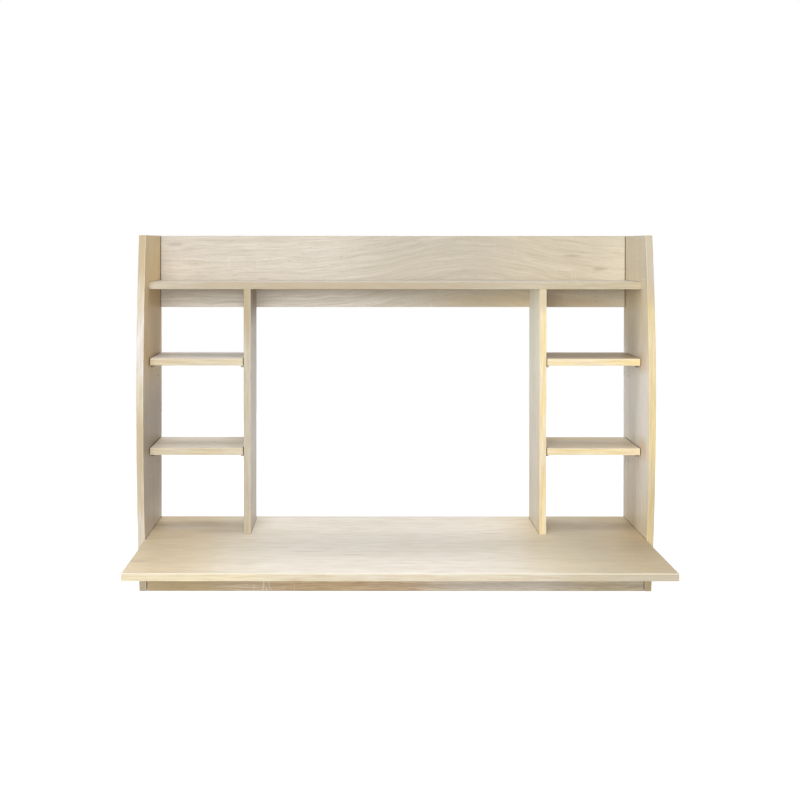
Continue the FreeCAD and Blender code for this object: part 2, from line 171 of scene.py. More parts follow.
class Board(NamedTuple):
    """How a board was cut from the printed sheet, in metres."""
    grain: int  # axis that the grain runs along
    cut: float  # how far along the sheet it was cut
    heart: float = 0.0  # where along the board the figure arches over the heart
    arch_rise: float = 0.0
    arch_reach: float = 0.2
    coarse: float = 1.0  # how many times wider its bands and streaks are
    flecks: float = 0.2  # this and the next three are strengths, 1 for full
    figure: float = 0.8
    honey: float = 0.2
    # joint: strength of the dark hairline and the painted shade beside it
    joint: float = 0.65
    tone: float = 1.0  # how light the sheet was printed, and on some boards also painted light and shade
    figured_side: int = 1  # 1 for patches and marks on the face at the high end, -1 at the low
    patches: tuple = ()
    marks: tuple = ()
    band_honey: float = 0.3
    band_tone: float = 1.0
    # share of the pale arris line: bared plastic with a painted highlight
    band_arris: float = 0.3
    arris_side: int = 1  # 1 for the corner at the high end of the thickness, -1 for the low one
    band_patches: tuple = ()


BOARDS = {
    "upper_back_rail": Board(
        X, 0.4, heart=0.18, arch_rise=0.055, arch_reach=0.21, coarse=0.7, flecks=0.2, figure=1.0,
        honey=0.1, joint=0.0, tone=0.92, figured_side=-1,
        # The fleck patch at the left end and the band arris patch at the right end are painted
        # light, lifting the shade beside the side panels.
        patches=(Patch(-0.6, 0.14, "fleck", 0.6), Patch(0.1, 0.26, "ring", 0.5),
                 Patch(0.45, 0.3, "honey", 0.35), Patch(0.58, 0.16, "band_arris", 0.45)),
        # The first four marks are painted under the top shelf: shade along it, light along the
        # lower edge, warm shade right of the middle and warm reflected light near the right. The
        # rest are flecks and pores of the print.
        marks=(Mark(0.0, -0.064, 1.2, 0.015, "pore", 0.4),
               Mark(-0.3, -0.104, 0.5, 0.036, "fleck", 1.0),
               Mark(0.27, -0.1, 0.28, 0.028, "band_streak", 0.6),
               Mark(0.45, -0.105, 0.12, 0.02, "amber", 0.3),
               Mark(-0.377, -0.01, 0.003, 0.022, "fleck", 0.6),
               Mark(-0.311, -0.012, 0.003, 0.018, "fleck", 0.5),
               Mark(-0.202, 0.0, 0.003, 0.022, "fleck", 0.5),
               Mark(-0.5, 0.03, 0.03, 0.007, "pore", 0.4),
               Mark(0.41, 0.004, 0.03, 0.005, "pore", 0.4),
               Mark(0.476, -0.026, 0.025, 0.006, "pore", 0.5))),
    "lower_front_rail": Board(
        X, 7.1, coarse=0.8, flecks=0.6, figure=1.8, honey=0.8, tone=1.03, figured_side=-1,
        patches=(Patch(-0.52, 0.22, "band_streak", 0.9), Patch(-0.08, 0.34, "amber", 0.45),
                 Patch(0.22, 0.22, "ground", 0.6))),
    "lower_back_rail": Board(X, 9.3),
    "desktop": Board(
        # Its tone above 1 is painted light, lifting the top where the lamps above leave it dim.
        X, 2.7, coarse=3.5, figure=0.7, flecks=0.1, honey=0.0, joint=0.5, tone=1.12,
        patches=(Patch(-0.54, 0.3, "honey", 0.65), Patch(-0.54, 0.24, "ring", 0.25),
                 Patch(-0.52, 0.18, "amber", 0.2),
                 Patch(0.54, 0.38, "honey", 0.9), Patch(0.56, 0.34, "ring", 0.85),
                 Patch(0.6, 0.24, "band_streak", 0.65), Patch(0.62, 0.18, "pore", 0.25)),
        marks=(Mark(-0.43, -0.06, 0.08, 0.024, "joint", 0.22),
               Mark(-0.385, -0.144, 0.08, 0.026, "joint", 0.2),
               Mark(-0.46, -0.105, 0.09, 0.03, "fleck", 0.5),
               Mark(0.44, -0.1, 0.13, 0.1, "ground", 0.25),
               Mark(-0.52, -0.39, 0.03, 0.02, "pore", 0.3)),
        band_honey=0.1, band_tone=0.93, band_arris=1.0,
        band_patches=(Patch(-0.4, 0.2, "band_arris", 0.8), Patch(-0.42, 0.25, "band_honey", 0.45),
                      Patch(0.52, 0.3, "ring", 0.6))),
    "top_shelf": Board(
        # Its low tone is painted shade, darkening the top that the lamps above light.
        X, 11.9, joint=0.0, tone=0.66, band_tone=0.75, band_honey=0.0, band_arris=0.0,
        band_patches=(Patch(-0.12, 0.45, "band_streak", 0.8), Patch(-0.12, 0.45, "ring", 0.35),
                      Patch(0.5, 0.3, "band_honey", 0.3))),
    "left_side_panel": Board(
        Z, 3.3, joint=0.8, tone=1.06,
        # The honey and amber patches near the top are painted warm shade and bounce light on the
        # inner face.
        patches=(Patch(-0.08, 0.3, "honey", 1.0), Patch(-0.1, 0.26, "amber", 0.35),
                 Patch(-0.15, 0.12, "amber", 0.3), Patch(-0.42, 0.22, "pore", 0.75)),
        band_tone=0.83,
        band_patches=(Patch(0.03, 0.12, "band_streak", 0.9), Patch(-0.19, 0.1, "fleck", 1.0),
                      Patch(-0.4, 0.1, "band_streak", 0.5), Patch(-0.58, 0.06, "fleck", 0.6),
                      # The joint patch at the foot is painted shade under the desktop.
                      Patch(-0.7, 0.08, "joint", 0.35))),
    "right_side_panel": Board(
        Z, 5.2, joint=0.8, tone=1.06, figured_side=-1,
        patches=(Patch(-0.02, 0.28, "honey", 0.7), Patch(0.02, 0.12, "ring", 0.9),
                 # The fleck patch at -0.32 is a painted whitish reflection on the inner face.
                 Patch(-0.32, 0.15, "fleck", 1.0), Patch(-0.48, 0.1, "fleck", 0.3),
                 Patch(-0.64, 0.18, "honey", 0.4)),
        # The two amber marks beside the shelf ends are painted warm shade and bounce light.
        marks=(Mark(-0.225, -0.175, 0.035, 0.06, "amber", 0.6),
               Mark(-0.414, -0.18, 0.04, 0.06, "amber", 0.6)),
        band_tone=1.06, band_honey=1.0, arris_side=-1,
        band_patches=(Patch(0.02, 0.2, "band_streak", 0.7), Patch(0.02, 0.14, "ring", 1.0),
                      Patch(-0.3, 0.22, "band_honey", 0.7),
                      # The joint patch at the foot is painted shade under the desktop.
                      Patch(-0.52, 0.12, "band_streak", 0.4), Patch(-0.7, 0.08, "joint", 0.5))),
    "left_divider": Board(
        Z, 13.4, honey=0.0,
        # The pore patch at the top is painted shade under the top shelf.
        patches=(Patch(-0.07, 0.1, "pore", 0.9), Patch(-0.33, 0.2, "fleck", 0.5),
                 Patch(-0.57, 0.15, "ring", 0.4)),
        band_tone=0.73, band_honey=0.1, band_patches=(Patch(-0.07, 0.14, "band_streak", 0.9),)),
    "right_divider": Board(
        Z, 16.8, honey=0.5, tone=1.12, figured_side=-1,
        # The band arris patch at the top is painted light, lifting the face where the top shelf
        # shades it.
        patches=(Patch(-0.12, 0.3, "band_arris", 0.95), Patch(-0.57, 0.15, "ring", 0.3)),
        band_tone=1.15, band_honey=0.9,
        band_patches=(Patch(-0.07, 0.06, "band_streak", 0.7), Patch(-0.07, 0.06, "ring", 0.6))),
    "left_upper_shelf": Board(
        # The pale fleck patch and raised tone are painted light on the top, which the top shelf
        # shades.
        X, 19.6, figure=0.3, honey=0.0, tone=1.08, patches=(Patch(-0.43, 0.5, "fleck", 0.8),),
        marks=(Mark(-0.395, -0.11, 0.1, 0.02, "pore", 0.25),), band_tone=0.9),
    "left_lower_shelf": Board(
        X, 21.5, honey=0.4, tone=1.16, marks=(Mark(-0.356, -0.025, 0.05, 0.03, "pore", 0.5),),
        band_tone=0.9),
    "right_upper_shelf": Board(
        # The low tone and the band streak patch are painted shade on the top under the top shelf.
        X, 24.2, honey=1.0, tone=0.88, patches=(Patch(0.43, 0.5, "band_streak", 0.9),),
        band_tone=1.15, band_honey=0.9, band_arris=0.6),
    "right_lower_shelf": Board(
        X, 27.7, honey=1.0, tone=1.03, patches=(Patch(0.43, 0.5, "band_streak", 0.4),),
        band_tone=1.15, band_honey=0.9, band_arris=0.6),
}


class Feature(NamedTuple):
    """How noise becomes a feature of the surface: none below start, its share above full."""
    start: float
    full: float
    share: float = 1.0


GROWTH = Feature(0.36, 0.68, 0.45)
FIBRE = Feature(0.40, 0.72, 0.6)
PORE = Feature(0.62, 0.74, 0.4)
FLECK = Feature(0.60, 0.72)
FLECK_GROUP = Feature(0.53, 0.62)
DRIFT = Feature(0.35, 0.65)
BAND_STREAK = Feature(0.36, 0.70, 0.55)
BAND_CLOUD = Feature(0.40, 0.66, 0.5)
SHEEN_SWING = Feature(0.3, 0.7)
METAL_CLOUD = Feature(0.3, 0.7, 0.35)
BEECH_RAY = Feature(0.5, 0.7, 0.8)
# How many finer layers the noise of a pattern gets, and how strong each is beside the last.
FINE, MEDIUM, BROAD = 3.0, 2.0, 1.0
LAYER_STRENGTH = 0.55
# The grain strays over this many growth widths along and across it, and drifts over this many.
STRAY_LENGTH, STRAY_WIDTH, DRIFT_WIDTH = 14, 4, 5
# Size of a group of flecks, in fleck heights, and of a cloud on an edge band, in fibres.
GROUP_LENGTH, GROUP_WIDTH = 6, 2
CLOUD_LENGTH, CLOUD_WIDTH = 2, 4
# Size through a board, in metres, of patterns that hardly change from face to face.
ALL_THROUGH = 1.0
# The decor changes over this depth, so that a board's two faces differ.
FACE_DEPTH = 40 * MM
# Patches and marks are at full share up to this part of the way to their ends.
PATCH_CORE, MARK_CORE = 1 / 3, 0.2
# Further along the sheet than any board is long, in metres.
OUT_OF_REACH = 10.0
# Late wood inside a patch is this much darker than the patch.
LATE_WOOD_TONE = 0.8
# Openness at a joint, from 0 to 1: dark up to the first, clear from the second.
JOINT_DARK, JOINT_CLEAR = 0.58, 0.78
JOINT_SAMPLES = 8
MELAMINE_IOR, ABS_IOR = 1.5, 1.53
# The fine embossing over the whole skin scatters part of its gloss; 0.5 is a smooth skin's.
MELAMINE_GLOSS = 0.25
# How far the roughness goes below and above its setting, on the faces and on the edge bands.
SKIN_SHEEN, BAND_SHEEN = (-0.05, 0.05), (-0.08, 0.02)
CORE_ROUGHNESS, BEECH_ROUGHNESS = 0.85, 0.7
# Clouds in a metal's surface go down to this share of its brightness.
DULLED_TONE = 0.6
METAL_RELIEF, BEECH_RELIEF = 0.02 * MM, 0.05 * MM
# How strongly that relief shows, 1 for as it is.
METAL_BUMP, BEECH_BUMP = 0.6, 0.5
# A ray fleck of beech is this many times longer than wide.
RAY_SLIMNESS = 3
WHITE = (1.0, 1.0, 1.0)


class Sheen(NamedTuple):
    """How rough a metal is, and how far that goes to either side."""
    roughness: float
    spread: float


NICKEL_SHEEN = Sheen(0.3, 0.06)
CASTING_SHEEN = Sheen(0.5, 0.1)
BOLT_SHEEN = Sheen(0.32, 0.06)
PLATE_SHEEN = Sheen(0.36, 0.08)


class Softbox(NamedTuple):
    """A white lamp, its places and sizes in metres."""
    place: tuple
    aim: tuple
    width: float
    height: float
    watts: float


SOFTBOXES = {
    "front_softbox": Softbox((-0.4, -3.0, 0.35), (0.0, -0.1, -0.2), 1.5, 1.0, 49.0),
    "left_softbox": Softbox((-3.0, -0.75, 0.35), (0.0, -0.2, -0.4), 1.0, 1.2, 18.0),
    "top_softbox": Softbox((0.0, -0.9, 2.2), (0.0, -0.3, -0.6), 1.6, 1.0, 21.0),
    "rear_softbox": Softbox((0.0, 0.6, 1.9), (0.0, -0.2, -0.6), 2.0, 0.8, 23.0),
}


# ---- Materials ----
def add_node(tree, kind, inputs=(), output=0, **settings):
    """Adds one shader node with its settings, feeds its sockets, and returns one output."""
    node = tree.nodes.new("ShaderNode" + kind)
    for name, value in settings.items():
        setattr(node, name, value)
    feeds = inputs.items() if isinstance(inputs, dict) else enumerate(inputs)
    for socket, value in feeds:
        if isinstance(value, bpy.types.NodeSocket):
            tree.links.new(value, node.inputs[socket])
        else:
            node.inputs[socket].default_value = value
    return node.outputs[output] if node.outputs else node


def new_material(name):
    material = bpy.data.materials.new(name)
    material.use_nodes = True
    material.node_tree.nodes.clear()
    return material, material.node_tree


def dress(node_name, material):
    """Puts the material on every slot of a CAD node."""
    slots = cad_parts[node_name].data.materials
    if not slots:
        slots.append(material)
    for index in range(len(slots)):
        slots[index] = material


def thickness_axis(node_name):
    """The axis that a board is thinnest along, with its middle and half its thickness."""
    low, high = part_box(node_name)
    axis = min((X, Y, Z), key=lambda i: high[i] - low[i])
    return axis, (low[axis] + high[axis]) / 2, (high[axis] - low[axis]) / 2


def position_axes(tree):
    """The coordinates of the point, in the desk's frame."""
    position = add_node(tree, "TexCoord", output="Object")
    return [add_node(tree, "SeparateXYZ", [position], output=axis) for axis in (X, Y, Z)]


def pattern(tree, place, sizes, layers=MEDIUM):
    """Noise from 0 to 1 whose features have these sizes along, across and through the grain."""
    counts = add_node(
        tree, "VectorMath", [place, [1 / size for size in sizes]], operation="MULTIPLY")
    return add_node(
        tree, "TexNoise",
        {"Vector": counts, "Scale": 1.0, "Detail": layers, "Roughness": LAYER_STRENGTH})


def grain_place(tree, board, settings, axes, thickness):
    """The point along, across and through the grain, where the grain arches and strays."""
    across = axes[3 - board.grain - thickness]
    along = add_node(tree, "Math", [axes[board.grain], board.cut], operation="ADD")
    reach = add_node(
        tree, "Math", [axes[board.grain], 1 / board.arch_reach, -board.heart / board.arch_reach],
        operation="MULTIPLY_ADD")
    fall = add_node(tree, "Math", [reach, reach], operation="MULTIPLY")
    drop = add_node(tree, "Math", [fall, -1.0], operation="MULTIPLY")
    bell = add_node(tree, "Math", [drop], operation="EXPONENT")
    level = add_node(
        tree, "Math", [bell, -board.arch_rise, across], operation="MULTIPLY_ADD")
    straight = add_node(tree, "CombineXYZ", [along, level, axes[thickness]])
    stray = pattern(
        tree, straight,
        (STRAY_LENGTH * settings.ring_width, STRAY_WIDTH * settings.ring_width, ALL_THROUGH))
    # The noise goes from 0 to 1, so twice the wander is the wander to either side.
    bent = add_node(
        tree, "Math", [stray, 2 * settings.wander, level], operation="MULTIPLY_ADD")
    return add_node(tree, "CombineXYZ", [along, bent, axes[thickness]])


def opaque(colour):
    """The colour with the alpha of 1 that a socket needs."""
    return (*colour, 1.0)


def toned(colour, tone):
    """The colour lightened or darkened, for a socket."""
    return opaque(min(1.0, channel * tone) for channel in colour)


def laid_over(tree, colour, coats):
    """The colour with the coats laid over it in turn, each given as its share and colour."""
    for share, coat in coats:
        colour = add_node(
            tree, "Mix", {SHARE: share, FIRST: colour, SECOND: coat}, output=RESULT,
            data_type="RGBA")
    return colour


def feature_share(tree, noise, feature, strength=1.0):
    """How much of the feature there is where the noise has this value."""
    share = min(1.0, feature.share * strength)
    return add_node(tree, "MapRange", [noise, feature.start, feature.full, 0.0, share])


def sheen(tree, noise, smoothest, roughest):
    """Roughness that swings between these two with the noise."""
    return add_node(
        tree, "MapRange", [noise, SHEEN_SWING.start, SHEEN_SWING.full, smoothest, roughest])


def patch_coats(tree, patches, along, settings, tone):
    """The board's patches as coats, each fading out at its ends."""
    coats = []
    for patch in patches:
        offset = add_node(tree, "Math", [along, patch.place], operation="SUBTRACT")
        distance = add_node(tree, "Math", [offset], operation="ABSOLUTE")
        share = add_node(
            tree, "MapRange",
            [distance, PATCH_CORE * patch.reach, patch.reach, patch.share, 0.0],
            interpolation_type="SMOOTHSTEP")
        coats.append((share, toned(getattr(settings, patch.colour), tone)))
    return coats


def mark_coats(tree, marks, along, across, settings, tone):
    """The board's marks as coats, each fading out all round."""
    coats = []
    for mark in marks:
        length_part = add_node(
            tree, "Math", [along, 1 / mark.half_length, -mark.place / mark.half_length],
            operation="MULTIPLY_ADD")
        width_part = add_node(
            tree, "Math", [across, 1 / mark.half_width, -mark.height / mark.half_width],
            operation="MULTIPLY_ADD")
        offset = add_node(tree, "CombineXYZ", [length_part, width_part])
        distance = add_node(tree, "VectorMath", [offset], output="Value", operation="LENGTH")
        share = add_node(
            tree, "MapRange", [distance, MARK_CORE, 1.0, mark.share, 0.0],
            interpolation_type="SMOOTHSTEP")
        coats.append((share, toned(getattr(settings, mark.colour), tone)))
    return coats


def joint_shade_coat(tree, strength, settings):
    """A dark coat close to another board: the hairline between two boards, and painted shade in
    the corner beside it.

    The real hairline is 0.3 mm wide; it is drawn as wide as it needs to be to show.
    """
    openness = add_node(
        tree, "AmbientOcclusion", {"Distance": settings.joint_reach}, output="AO",
        samples=JOINT_SAMPLES)
    share = add_node(tree, "MapRange", [openness, JOINT_DARK, JOINT_CLEAR, strength, 0.0])
    return share, opaque(settings.joint)


def oak_decor(name, board, settings):
    """Melamine paper printed with pale oak, pressed on chipboard.

    It gives a satin face with soft growth bands, finer fibre streaks, short pores pressed in
    along them and pale ray flecks across them. Raw chips show where the board was drilled or cut.
    """
    thickness, middle, half = thickness_axis(name)
    material, tree = new_material(f"Melamine oak decor on chipboard, {name}")
    axes = position_axes(tree)
    along, across = axes[board.grain], axes[3 - board.grain - thickness]
    place = grain_place(tree, board, settings, axes, thickness)

    growth = pattern(
        tree, place, (settings.ring_length, settings.ring_width * board.coarse, FACE_DEPTH), FINE)
    fibre = pattern(
        tree, place, (settings.fibre_length, settings.fibre_width * board.coarse, FACE_DEPTH),
        FINE)
    # Real pores are 0.2 mm wide; they are drawn as coarse as they need to be to show.
    pore = pattern(
        tree, place,
        (settings.pore_length * board.coarse, settings.pore_width * board.coarse, FACE_DEPTH))
    fleck = pattern(tree, place, (settings.fleck_width, settings.fleck_height, FACE_DEPTH), BROAD)
    fleck_group = pattern(
        tree, place,
        (GROUP_LENGTH * settings.fleck_height, GROUP_WIDTH * settings.fleck_height, FACE_DEPTH),
        BROAD)
    drift = pattern(
        tree, place, (settings.ring_length, DRIFT_WIDTH * settings.ring_width, ALL_THROUGH), BROAD)

    growth_share = feature_share(tree, growth, GROWTH, board.figure)
    fibre_share = feature_share(tree, fibre, FIBRE, board.figure)
    pore_share = feature_share(tree, pore, PORE, board.figure)
    fleck_ridge = feature_share(tree, fleck, FLECK, board.flecks)
    group_share = feature_share(tree, fleck_group, FLECK_GROUP)
    fleck_share = add_node(tree, "Math", [fleck_ridge, group_share], operation="MULTIPLY")
    drift_share = feature_share(tree, drift, DRIFT, board.honey)

    # Each face has its own sheet, so patches and marks on one face are kept off the other.
    off_middle = add_node(tree, "Math", [axes[thickness], middle], operation="SUBTRACT")
    to_figured = add_node(tree, "Math", [off_middle, board.figured_side], operation="MULTIPLY")
    on_plain = add_node(tree, "Math", [to_figured, 0.0], operation="LESS_THAN")
    figure_along = add_node(
        tree, "Math", [on_plain, OUT_OF_REACH, along], operation="MULTIPLY_ADD")

    tone = board.tone
    # A figure above full strength darkens the late wood towards the colour of the pores.
    late_wood = Vector(settings.ring).lerp(Vector(settings.pore), max(0.0, board.figure - 1))
    ring = laid_over(
        tree, toned(late_wood, tone),
        patch_coats(tree, board.patches, figure_along, settings, LATE_WOOD_TONE * tone))
    # Some boards' patches and marks are painted light and painted shade, noted at each board.
    printed = laid_over(tree, toned(settings.ground, tone), [
        (drift_share, toned(settings.honey, tone)),
        *patch_coats(tree, board.patches, figure_along, settings, tone),
        *mark_coats(tree, board.marks, figure_along, across, settings, tone),
        (growth_share, ring),
        (fibre_share, ring),
        (pore_share, toned(settings.pore, tone)),
        (fleck_share, toned(settings.fleck, tone)),
    ])

    position = add_node(tree, "CombineXYZ", axes)
    chips = add_node(
        tree, "TexVoronoi", {"Vector": position, "Scale": 1 / settings.chip_size}, output="Color")
    chip_tone = add_node(tree, "SeparateColor", [chips])
    core = laid_over(tree, opaque(settings.glue), [(chip_tone, opaque(settings.chip))])

    height = add_node(tree, "Math", [off_middle], operation="ABSOLUTE")
    on_skin = add_node(tree, "Math", [height, half - settings.skin], operation="GREATER_THAN")
    # The joint coat adds the dark hairline and painted shade in corners next to other boards.
    colour = laid_over(tree, core, [(on_skin, printed), joint_shade_coat(tree, board.joint, settings)])
    skin_roughness = sheen(
        tree, fibre, *[settings.gloss_roughness + swing for swing in SKIN_SHEEN])
    roughness = add_node(tree, "MapRange", [on_skin, 0.0, 1.0, CORE_ROUGHNESS, skin_roughness])
    relief = add_node(tree, "Math", [pore_share, fibre_share], operation="ADD")
    normal = add_node(
        tree, "Bump", {"Strength": 1.0, "Distance": settings.emboss, "Height": relief},
        invert=True)
    surface = add_node(
        tree, "BsdfPrincipled",
        {"Base Color": colour, "Roughness": roughness, "Normal": normal, "IOR": MELAMINE_IOR,
         "Specular IOR Level": MELAMINE_GLOSS})
    add_node(tree, "OutputMaterial", {"Surface": surface})
    return material


def edge_band(name, board, settings):
    """Printed ABS edge band, hot-glued on and trimmed flush.

    It gives a slightly yellower, smoother strip than the faces, with streaks along it and a paler
    line at the corner where trimming bared the plastic, drawn wide and bright as a painted
    highlight.
    """
    thickness, middle, half = thickness_axis(name)
    material, tree = new_material(f"Printed ABS edge band, {name}")
    axes = position_axes(tree)
    flat_axes = [axes[i] for i in (X, Y, Z) if i != thickness]
    run = add_node(tree, "Math", flat_axes, operation="ADD")
    place = add_node(tree, "CombineXYZ", [run, axes[thickness], board.cut])
    streak = pattern(
        tree, place, (settings.fibre_length, settings.fibre_width, ALL_THROUGH), FINE)
    cloud = pattern(
        tree, place,
        (CLOUD_LENGTH * settings.fibre_length, CLOUD_WIDTH * settings.fibre_width, ALL_THROUGH),
        BROAD)
    streak_share = feature_share(tree, streak, BAND_STREAK)
    cloud_share = feature_share(tree, cloud, BAND_CLOUD)
    off_middle = add_node(tree, "Math", [axes[thickness], middle], operation="SUBTRACT")
    to_corner = add_node(tree, "Math", [off_middle, board.arris_side], operation="MULTIPLY")
    # The pale arris is bared plastic, drawn wide and bright as a painted highlight along the
    # corner.
    trimmed = add_node(tree, "Math", [to_corner, half - settings.arris], operation="GREATER_THAN")
    trimmed_and_highlit_share = add_node(tree, "Math", [trimmed, board.band_arris], operation="MULTIPLY")
    height = add_node(tree, "Math", [off_middle], operation="ABSOLUTE")
    on_side = add_node(
        tree, "Math", [height, half - settings.flush], operation="GREATER_THAN")

    tone = board.band_tone
    plain = Vector(settings.band_ground).lerp(Vector(settings.band_honey), board.band_honey)
    colour = laid_over(tree, toned(plain, tone), [
        (cloud_share, toned(settings.ground, tone)),
        *patch_coats(tree, board.band_patches, axes[board.grain], settings, tone),
        (streak_share, toned(settings.band_streak, tone)),
        (trimmed_and_highlit_share, opaque(settings.band_arris)),
        (on_side, opaque(settings.seam)),
    ])
    roughness = sheen(
        tree, streak, *[settings.gloss_roughness + swing for swing in BAND_SHEEN])
    normal = add_node(
        tree, "Bump", {"Strength": 1.0, "Distance": settings.emboss, "Height": streak_share},
        invert=True)
    surface = add_node(
        tree, "BsdfPrincipled",
        {"Base Color": colour, "Roughness": roughness, "Normal": normal, "IOR": ABS_IOR})
    add_node(tree, "OutputMaterial", {"Surface": surface})
    return material


def metal(name, colour, cloud_size, gleam):
    """A plain metal whose gloss varies in clouds or crystals of cloud_size."""
    material, tree = new_material(name)
    position = add_node(tree, "TexCoord", output="Object")
    cloud = pattern(tree, position, (cloud_size, cloud_size, cloud_size))
    dulling = feature_share(tree, cloud, METAL_CLOUD)
    dulled = laid_over(tree, opaque(colour), [(dulling, toned(colour, DULLED_TONE))])
    roughness = sheen(
        tree, cloud, gleam.roughness - gleam.spread, gleam.roughness + gleam.spread)
    normal = add_node(
        tree, "Bump", {"Strength": METAL_BUMP, "Distance": METAL_RELIEF, "Height": cloud})
    surface = add_node(
        tree, "BsdfPrincipled",
        {"Base Color": dulled, "Metallic": 1.0, "Roughness": roughness, "Normal": normal})
    add_node(tree, "OutputMaterial", {"Surface": surface})
    return material


def turned_beech(settings):
    """Bare beech, turned to a dowel: pinkish tan with short darker ray flecks."""
    material, tree = new_material("Turned bare beech")
    position = add_node(tree, "TexCoord", output="Object")
    length = settings.ray_length
    ray = pattern(tree, position, (length, length / RAY_SLIMNESS, length))
    share = feature_share(tree, ray, BEECH_RAY)
    colour = laid_over(tree, opaque(settings.beech), [(share, opaque(settings.beech_ray))])
    normal = add_node(
        tree, "Bump", {"Strength": BEECH_BUMP, "Distance": BEECH_RELIEF, "Height": ray})
    surface = add_node(
        tree, "BsdfPrincipled",
        {"Base Color": colour, "Roughness": BEECH_ROUGHNESS, "Normal": normal})
    add_node(tree, "OutputMaterial", {"Surface": surface})
    return material


def finish_boards(context, names):
    """Prints the decor on the boards and puts on their edge bands."""
    settings = context.scene.desk_decor
    for name in names:
        board = BOARDS[name]
        dress(name, oak_decor(name, board, settings))
        dress(name + "_edge_band", edge_band(name, board, settings))


def finish_nodes(ending, material):
    """Puts the material on every CAD node whose name has this ending."""
    names = [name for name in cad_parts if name.endswith(ending)]
    if not names:
        raise RuntimeError(f"the desk has no part whose name ends in {ending}")
    for name in names:
        dress(name, material)


# ---- Operators, one for each group of pieces ----
class DESK_OT_finish_rails(bpy.types.Operator):
    """Finish the back rail and the two rails under the desktop"""
    bl_idname = "desk.finish_rails"
    bl_label = "Finish Rails"

    def execute(self, context):
        finish_boards(context, ("upper_back_rail", "lower_front_rail", "lower_back_rail"))
        return {"FINISHED"}


class DESK_OT_finish_desktop(bpy.types.Operator):
    """Finish the desktop"""
    bl_idname = "desk.finish_desktop"
    bl_label = "Finish Desktop"

    def execute(self, context):
        finish_boards(context, ("desktop",))
        return {"FINISHED"}


class DESK_OT_finish_top_shelf(bpy.types.Operator):
    """Finish the long top shelf"""
    bl_idname = "desk.finish_top_shelf"
    bl_label = "Finish Top Shelf"

    def execute(self, context):
        finish_boards(context, ("top_shelf",))
        return {"FINISHED"}


class DESK_OT_finish_uprights(bpy.types.Operator):
    """Finish the bow-fronted side panels and the dividers"""
    bl_idname = "desk.finish_uprights"
    bl_label = "Finish Uprights"

    def execute(self, context):
        finish_boards(
            context, ("left_side_panel", "right_side_panel", "left_divider", "right_divider"))
        return {"FINISHED"}


class DESK_OT_finish_small_shelves(bpy.types.Operator):
    """Finish the small shelves that rest on pins"""
    bl_idname = "desk.finish_small_shelves"
    bl_label = "Finish Small Shelves"

    def execute(self, context):
        finish_boards(context, [f"{side}_{level}_shelf" for side in ("left", "right")
                                for level in ("upper", "lower")])
        return {"FINISHED"}


class DESK_OT_finish_shelf_pins(bpy.types.Operator):
    """Finish the nickel-plated shelf pins"""
    bl_idname = "desk.finish_shelf_pins"
    bl_label = "Finish Shelf Pins"

    def execute(self, context):
        settings = context.scene.desk_fittings
        # Barrel-plated nickel gives a warm grey gleam with faint clouds.
        finish_nodes("_pins", metal(
            "Nickel-plated steel", settings.nickel, settings.plating_cloud, NICKEL_SHEEN))
        return {"FINISHED"}


class DESK_OT_finish_cam_fittings(bpy.types.Operator):
    """Finish the cam locks and their bolts"""
    bl_idname = "desk.finish_cam_fittings"
    bl_label = "Finish Cam Fittings"

    def execute(self, context):
        settings = context.scene.desk_fittings
        # Die-cast zinc is dull and mottled by its crystals; plated bolts are brighter.
        finish_nodes("_cam_locks", metal(
            "Die-cast zinc", settings.zinc, settings.casting_grain, CASTING_SHEEN))
        finish_nodes("_cam_bolts", metal(
            "Zinc-plated steel, bolts", settings.plating, settings.plating_cloud, BOLT_SHEEN))
        return {"FINISHED"}


class DESK_OT_finish_dowels(bpy.types.Operator):
    """Finish the beech dowels"""
    bl_idname = "desk.finish_dowels"
    bl_label = "Finish Dowels"

    def execute(self, context):
        finish_nodes("_dowels", turned_beech(context.scene.desk_fittings))
        return {"FINISHED"}


class DESK_OT_finish_hangers(bpy.types.Operator):
    """Finish the keyhole hanger plates and the countersunk screws"""
    bl_idname = "desk.finish_hangers"
    bl_label = "Finish Hangers"

    def execute(self, context):
        settings = context.scene.desk_fittings
        # Zinc plating over stamped steel gives a bluish white gleam with clouds.
        plating = metal(
            "Zinc-plated steel, plates", settings.plating, settings.plating_cloud, PLATE_SHEEN)
        finish_nodes("_plates", plating)
        finish_nodes("_screws", plating)
        return {"FINISHED"}


class DESK_OT_build_stage(bpy.types.Operator):
    """Build the floor, the light and the camera"""
    bl_idname = "desk.build_stage"
    bl_label = "Build Stage"

    def execute(self, context):
        settings = context.scene.desk_stage
        add_floor(context, settings)
        light_room(context, settings)
        for name, softbox in SOFTBOXES.items():
            add_softbox(context, name, softbox)
        add_camera(context, settings)
        context.scene.view_settings.view_transform = "Standard"
        return {"FINISHED"}


# ---- Stage ----
def seen_directly(tree):
    """1 for rays that show the surroundings: from the camera, in gloss or through glass."""
    path = add_node(tree, "LightPath").node
    seen = add_node(
        tree, "Math", [path.outputs["Is Camera Ray"], path.outputs["Is Glossy Ray"]],
        operation="MAXIMUM")
    return add_node(
        tree, "Math", [seen, path.outputs["Is Transmission Ray"]], operation="MAXIMUM")


